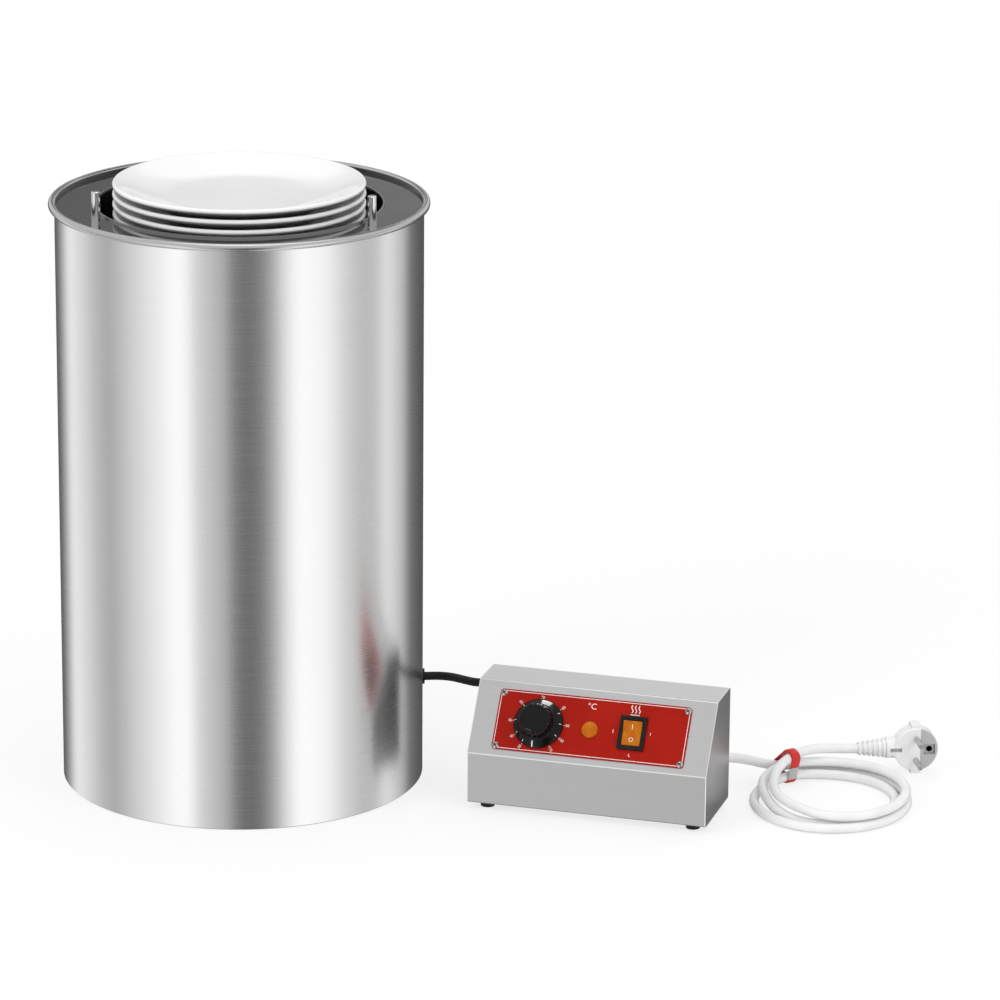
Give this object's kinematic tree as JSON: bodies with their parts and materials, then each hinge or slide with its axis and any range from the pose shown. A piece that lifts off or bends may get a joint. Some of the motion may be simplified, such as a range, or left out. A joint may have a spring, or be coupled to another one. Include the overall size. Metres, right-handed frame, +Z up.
{
  "type": "plate warmer",
  "caption": "Round steel drum that keeps a sprung stack of plates warm, with a sloping control box, dial, switch, coiled mains cord and plug.",
  "frame": {"origin": "centre of the drum's base on the floor", "axes": "+Z up along the drum, +X towards the control box, -Y the way the control panel faces"},
  "size_m": [0.713, 0.3313, 0.5073],
  "materials": {
    "drum_steel": "brushed lengthways, bright",
    "deck_steel": "mirror polished",
    "well_steel": "heat-dulled",
    "inner_steel": "plain sheet",
    "bright_steel": "polished",
    "spring_steel": "bright wire",
    "nylon": "natural nylon",
    "porcelain": "glossy white porcelain glaze",
    "heater_sheath": "heat-darkened",
    "ceramic": "unglazed ceramic",
    "box_steel": "fine brushed, satin",
    "panel_red": "satin red print",
    "black_plastic": "glossy black",
    "amber": "clear amber",
    "switch_black": "satin black",
    "brass": "plain brass",
    "black_rubber": "matt black rubber",
    "cord_white": "smooth white vinyl",
    "plug_white": "moulded white",
    "tie_red": "printed band"
  },
  "bodies": {
    "unit": {"drum_shell": "drum_steel", "base_plate": "inner_steel", "base_screws": "bright_steel", "base_nuts": "bright_steel", "top_deck": "deck_steel", "well_tube": "well_steel", "locating_posts": "bright_steel", "post_nuts": "bright_steel", "spring_hangers": "inner_steel", "hanger_rivets": "bright_steel", "lift_springs": "spring_steel", "reflector_plate": "inner_steel", "reflector_spacers": "inner_steel", "ring_heater": "heater_sheath", "heater_bushes": "ceramic", "heater_clips": "inner_steel", "overheat_cutout": "black_plastic", "temperature_probe": "bright_steel", "probe_clip": "inner_steel", "drum_grommet": "black_rubber", "link_cable": "black_rubber", "box_grommet": "black_rubber", "box_housing": "box_steel", "box_base": "inner_steel", "box_feet": "black_rubber", "foot_screws": "bright_steel", "foot_nuts": "bright_steel", "front_panel": "panel_red", "panel_screws": "bright_steel", "thermostat": "inner_steel", "thermostat_screws": "bright_steel", "lamp_lens": "amber", "lamp_body": "switch_black", "switch_frame": "switch_black", "rocker_pin": "bright_steel", "switch_body": "switch_black", "switch_terminals": "brass", "terminal_block": "ceramic", "mains_relief": "plug_white", "mains_lead": "cord_white", "mains_coil": "cord_white", "mains_tail": "cord_white", "cord_tie": "tie_red", "plug_body": "plug_white", "plug_boot": "plug_white", "plug_pins": "bright_steel", "plug_contacts": "inner_steel"},
    "carrier": {"plate_platform": "inner_steel", "carrier_column": "inner_steel", "carrier_spider": "inner_steel", "carrier_rivets": "bright_steel", "guide_shoes": "nylon"},
    "plate_stack": {"plate_stack": "porcelain"},
    "top_plate": {"top_plate": "porcelain"},
    "dial": {"dial_shaft": "bright_steel", "dial_knob": "black_plastic", "dial_cap": "black_plastic"},
    "rocker": {"rocker_button": "amber"}
  },
  "joints": [
    {"name": "carrier_lift", "type": "slide", "parent": "unit", "child": "carrier", "axis": [0, 0, -1], "range_m": [-0.09, 0.226], "stiffness_N_per_m": 492, "springref_m": -0.1153, "deforming": ["lift_springs"]},
    {"name": "stack_lift", "type": "slide", "parent": "carrier", "child": "plate_stack", "axis": [0, 0, 1], "range_m": [0, 0.15]},
    {"name": "top_plate_lift", "type": "slide", "parent": "plate_stack", "child": "top_plate", "axis": [0, 0, 1], "range_m": [0, 0.15]},
    {"name": "dial_turn", "type": "hinge", "parent": "unit", "child": "dial", "pos_m": [0.2635, -0.02923, 0.07824], "axis": [0, 0.8213, -0.5705], "range_deg": [0, 321]},
    {"name": "rocker_tip", "type": "hinge", "parent": "unit", "child": "rocker", "pos_m": [0.3427, -0.02293, 0.07399], "axis": [1, 0, 0], "range_deg": [-16, 0]}
  ]
}
